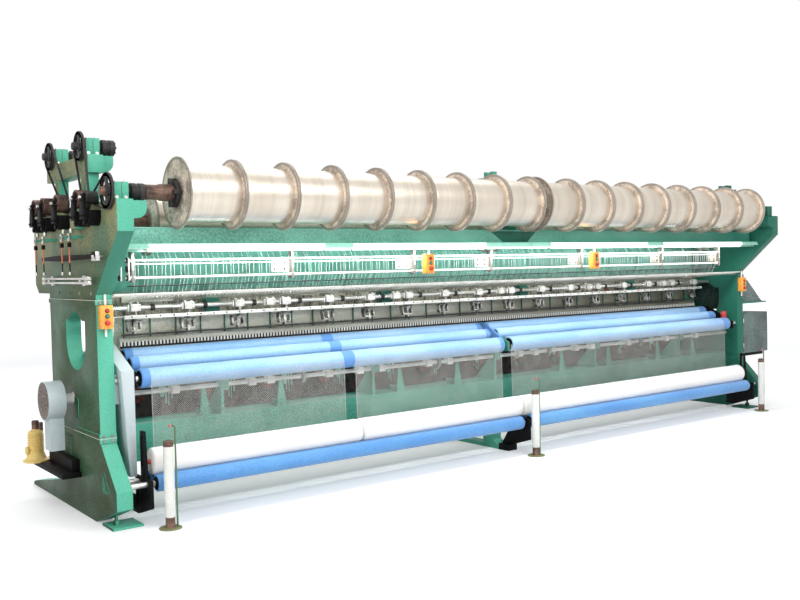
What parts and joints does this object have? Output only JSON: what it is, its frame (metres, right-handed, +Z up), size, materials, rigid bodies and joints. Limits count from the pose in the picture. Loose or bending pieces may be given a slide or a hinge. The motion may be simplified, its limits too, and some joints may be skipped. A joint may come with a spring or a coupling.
{
  "type": "warp knitting machine",
  "caption": "Wide warp-knitting machine for netting: warp spools on top, rocking guide arms over a needle comb, take-down rollers and batching rollers with wound net.",
  "frame": {"origin": "on the floor, under the middle leg, half way between the two side frames and below the middle of the columns", "axes": "+X along the machine towards the switch cabinet, -Y towards the side where the net comes down, +Z up"},
  "size_m": [9.015, 2.4015, 2.9152],
  "materials": {
    "frame_green": "gloss machine enamel",
    "girder_green": "gloss machine enamel",
    "black_paint": "semi-gloss black paint",
    "cover_mint": "sheet metal enamel",
    "bright_steel": "ground steel",
    "comb_steel": "machined steel",
    "lamp_white": "white enamel",
    "reducer_yellow": "yellow enamel",
    "box_orange": "moulded plastic",
    "net": "monofilament netting",
    "flange_grey": "worn cast metal",
    "rear_steel": "worn cast metal",
    "yarn_silver": "wound monofilament",
    "belt_black": "flat rubber belt",
    "drum_copper": "bare rusty metal",
    "roller_blue": "textured roller covering",
    "button_teal": "moulded plastic",
    "button_red": "moulded plastic"
  },
  "bodies": {
    "machine": {"base_castings": "frame_green", "beam_bearings": "frame_green", "cabinet_body": "cover_mint", "center_pedestal": "girder_green", "comb_beam": "girder_green", "control_boxes": "box_orange", "drive_belts": "belt_black", "drive_platform": "black_paint", "gear_cover": "cover_mint", "gear_reducer": "reducer_yellow", "guard_posts": "lamp_white", "head_castings": "frame_green", "lamps": "lamp_white", "letoff_gearboxes": "frame_green", "lower_girders": "girder_green", "machine_feet": "frame_green", "middle_castings": "frame_green", "needle_comb": "comb_steel", "net_panels": "net", "roller_stands": "black_paint", "upper_carriers": "frame_green", "upper_girders": "girder_green", "yarn_guides": "bright_steel"},
    "front_beam": {"front_beam_shaft": "flange_grey", "front_flanges": "flange_grey", "front_yarn": "yarn_silver"},
    "rear_beam": {"rear_spools": "rear_steel", "rear_yarn": "yarn_silver"},
    "upper_front_wheel": {"upper_front_stub": "flange_grey"},
    "upper_rear_wheel": {"upper_rear_stub": "flange_grey"},
    "pulley": {"letoff_pulley": "black_paint"},
    "drum_1": {"letoff_drum_1": "drum_copper"},
    "drum_2": {"letoff_drum_2": "drum_copper"},
    "drum_3": {"letoff_drum_3": "drum_copper"},
    "drum_4": {"letoff_drum_4": "drum_copper"},
    "lever": {"pattern_lever": "black_paint"},
    "rods": {"push_rods": "bright_steel"},
    "guide_rocker": {"guide_shaft": "bright_steel"},
    "guide_slider": {"guide_bar": "comb_steel"},
    "needles": {"needle_bar": "bright_steel"},
    "cams": {"cam_shaft": "bright_steel"},
    "roller_a": {"takedown_roller_a": "roller_blue"},
    "roller_b": {"takedown_roller_b": "roller_blue"},
    "roller_c": {"takedown_roller_c": "roller_blue"},
    "batch_front": {"batch_roller_front": "roller_blue"},
    "batch_rear": {"batch_roller_rear": "roller_blue"},
    "rolls": {"net_rolls": "net"},
    "door": {"cabinet_door": "cover_mint"},
    "button_left_creep_body": {"button_left_creep": "button_teal"},
    "button_left_start_body": {"button_left_start": "button_red"},
    "button_left_stop_body": {"button_left_stop": "button_red"},
    "button_mid_left_creep_body": {"button_mid_left_creep": "button_teal"},
    "button_mid_left_start_body": {"button_mid_left_start": "button_red"},
    "button_mid_left_stop_body": {"button_mid_left_stop": "button_red"},
    "button_mid_right_creep_body": {"button_mid_right_creep": "button_teal"},
    "button_mid_right_start_body": {"button_mid_right_start": "button_red"},
    "button_mid_right_stop_body": {"button_mid_right_stop": "button_red"},
    "button_right_creep_body": {"button_right_creep": "button_teal"},
    "button_right_start_body": {"button_right_start": "button_red"},
    "button_right_stop_body": {"button_right_stop": "button_red"}
  },
  "joints": [
    {"name": "front_beam_spin", "type": "hinge", "parent": "machine", "child": "front_beam", "pos_m": [0, -1, 2.43], "axis": [1, 0, 0], "continuous": true},
    {"name": "rear_beam_spin", "type": "hinge", "parent": "machine", "child": "rear_beam", "pos_m": [0, -0.4, 2.25], "axis": [1, 0, 0], "continuous": true},
    {"name": "upper_front_spin", "type": "hinge", "parent": "machine", "child": "upper_front_wheel", "pos_m": [0, -0.447, 2.8], "axis": [1, 0, 0], "continuous": true},
    {"name": "upper_rear_spin", "type": "hinge", "parent": "machine", "child": "upper_rear_wheel", "pos_m": [0, 0.286, 2.8], "axis": [1, 0, 0], "continuous": true},
    {"name": "pulley_spin", "type": "hinge", "parent": "machine", "child": "pulley", "pos_m": [0, -0.76, 2.4], "axis": [1, 0, 0], "continuous": true},
    {"name": "drum_1_spin", "type": "hinge", "parent": "machine", "child": "drum_1", "pos_m": [0, -0.56, 2.4], "axis": [1, 0, 0], "continuous": true},
    {"name": "drum_2_spin", "type": "hinge", "parent": "machine", "child": "drum_2", "pos_m": [0, -0.09, 2.4], "axis": [1, 0, 0], "continuous": true},
    {"name": "drum_3_spin", "type": "hinge", "parent": "machine", "child": "drum_3", "pos_m": [0, 0.27, 2.4], "axis": [1, 0, 0], "continuous": true},
    {"name": "drum_4_spin", "type": "hinge", "parent": "machine", "child": "drum_4", "pos_m": [0, 0.5, 2.4], "axis": [1, 0, 0], "continuous": true},
    {"name": "pattern_lever_swing", "type": "hinge", "parent": "machine", "child": "lever", "pos_m": [-4.164, -0.845, 1.98], "axis": [1, 0, 0], "range_deg": [-3, 3]},
    {"name": "push_rods_slide", "type": "slide", "parent": "machine", "child": "rods", "axis": [0, 1, 0], "range_m": [-0.01, 0.01]},
    {"name": "guide_swing", "type": "hinge", "parent": "machine", "child": "guide_rocker", "pos_m": [0, -0.22, 1.577], "axis": [1, 0, 0], "range_deg": [-6, 6]},
    {"name": "guide_bar_shog", "type": "slide", "parent": "guide_rocker", "child": "guide_slider", "axis": [1, 0, 0], "range_m": [-0.015, 0.015]},
    {"name": "needle_bar_lift", "type": "slide", "parent": "machine", "child": "needles", "axis": [0, 0, 1], "range_m": [-0.012, 0.006]},
    {"name": "cam_shaft_spin", "type": "hinge", "parent": "machine", "child": "cams", "pos_m": [0, -0.47, 0.93], "axis": [1, 0, 0], "continuous": true},
    {"name": "roller_c_spin", "type": "hinge", "parent": "machine", "child": "roller_c", "pos_m": [0, -0.608, 1.057], "axis": [1, 0, 0], "continuous": true},
    {"name": "roller_a_spin", "type": "hinge", "parent": "machine", "child": "roller_a", "pos_m": [0, -0.279, 1.205], "axis": [1, 0, 0], "continuous": true},
    {"name": "roller_b_spin", "type": "hinge", "parent": "machine", "child": "roller_b", "pos_m": [0, -0.414, 1.148], "axis": [1, 0, 0], "continuous": true},
    {"name": "net_rolls_spin", "type": "hinge", "parent": "machine", "child": "rolls", "pos_m": [0, -0.799, 0.45654], "axis": [1, 0, 0], "continuous": true},
    {"name": "batch_front_spin", "type": "hinge", "parent": "machine", "child": "batch_front", "pos_m": [0, -0.878, 0.309], "axis": [1, 0, 0], "continuous": true},
    {"name": "batch_rear_spin", "type": "hinge", "parent": "machine", "child": "batch_rear", "pos_m": [0, -0.72, 0.309], "axis": [1, 0, 0], "continuous": true},
    {"name": "cabinet_door_swing", "type": "hinge", "parent": "machine", "child": "door", "pos_m": [4.116, -0.6413, 0.916], "axis": [0, 0, -1], "range_deg": [0, 95]},
    {"name": "button_left_creep_press", "type": "slide", "parent": "machine", "child": "button_left_creep_body", "axis": [0, 1, 0], "range_m": [0, 0.005], "stiffness_N_per_m": 400},
    {"name": "button_left_start_press", "type": "slide", "parent": "machine", "child": "button_left_start_body", "axis": [0, 1, 0], "range_m": [0, 0.005], "stiffness_N_per_m": 400},
    {"name": "button_left_stop_press", "type": "slide", "parent": "machine", "child": "button_left_stop_body", "axis": [0, 1, 0], "range_m": [0, 0.005], "stiffness_N_per_m": 400},
    {"name": "button_mid_left_creep_press", "type": "slide", "parent": "machine", "child": "button_mid_left_creep_body", "axis": [0, 1, 0], "range_m": [0, 0.005], "stiffness_N_per_m": 400},
    {"name": "button_mid_left_start_press", "type": "slide", "parent": "machine", "child": "button_mid_left_start_body", "axis": [0, 1, 0], "range_m": [0, 0.005], "stiffness_N_per_m": 400},
    {"name": "button_mid_left_stop_press", "type": "slide", "parent": "machine", "child": "button_mid_left_stop_body", "axis": [0, 1, 0], "range_m": [0, 0.005], "stiffness_N_per_m": 400},
    {"name": "button_mid_right_creep_press", "type": "slide", "parent": "machine", "child": "button_mid_right_creep_body", "axis": [0, 1, 0], "range_m": [0, 0.005], "stiffness_N_per_m": 400},
    {"name": "button_mid_right_start_press", "type": "slide", "parent": "machine", "child": "button_mid_right_start_body", "axis": [0, 1, 0], "range_m": [0, 0.005], "stiffness_N_per_m": 400},
    {"name": "button_mid_right_stop_press", "type": "slide", "parent": "machine", "child": "button_mid_right_stop_body", "axis": [0, 1, 0], "range_m": [0, 0.005], "stiffness_N_per_m": 400},
    {"name": "button_right_creep_press", "type": "slide", "parent": "machine", "child": "button_right_creep_body", "axis": [0, 1, 0], "range_m": [0, 0.005], "stiffness_N_per_m": 400},
    {"name": "button_right_start_press", "type": "slide", "parent": "machine", "child": "button_right_start_body", "axis": [0, 1, 0], "range_m": [0, 0.005], "stiffness_N_per_m": 400},
    {"name": "button_right_stop_press", "type": "slide", "parent": "machine", "child": "button_right_stop_body", "axis": [0, 1, 0], "range_m": [0, 0.005], "stiffness_N_per_m": 400}
  ],
  "couplings": [
    {"joint": "pulley_spin", "follows": "front_beam_spin", "ratio": 2.6042},
    {"joint": "drum_1_spin", "follows": "upper_front_spin", "ratio": 1.5429},
    {"joint": "drum_2_spin", "follows": "upper_rear_spin", "ratio": 1.5429},
    {"joint": "roller_a_spin", "follows": "roller_c_spin", "ratio": 1.25},
    {"joint": "roller_b_spin", "follows": "roller_c_spin", "ratio": -1.25},
    {"joint": "batch_front_spin", "follows": "net_rolls_spin", "ratio": -1.5692},
    {"joint": "batch_rear_spin", "follows": "net_rolls_spin", "ratio": -1.5692}
  ]
}
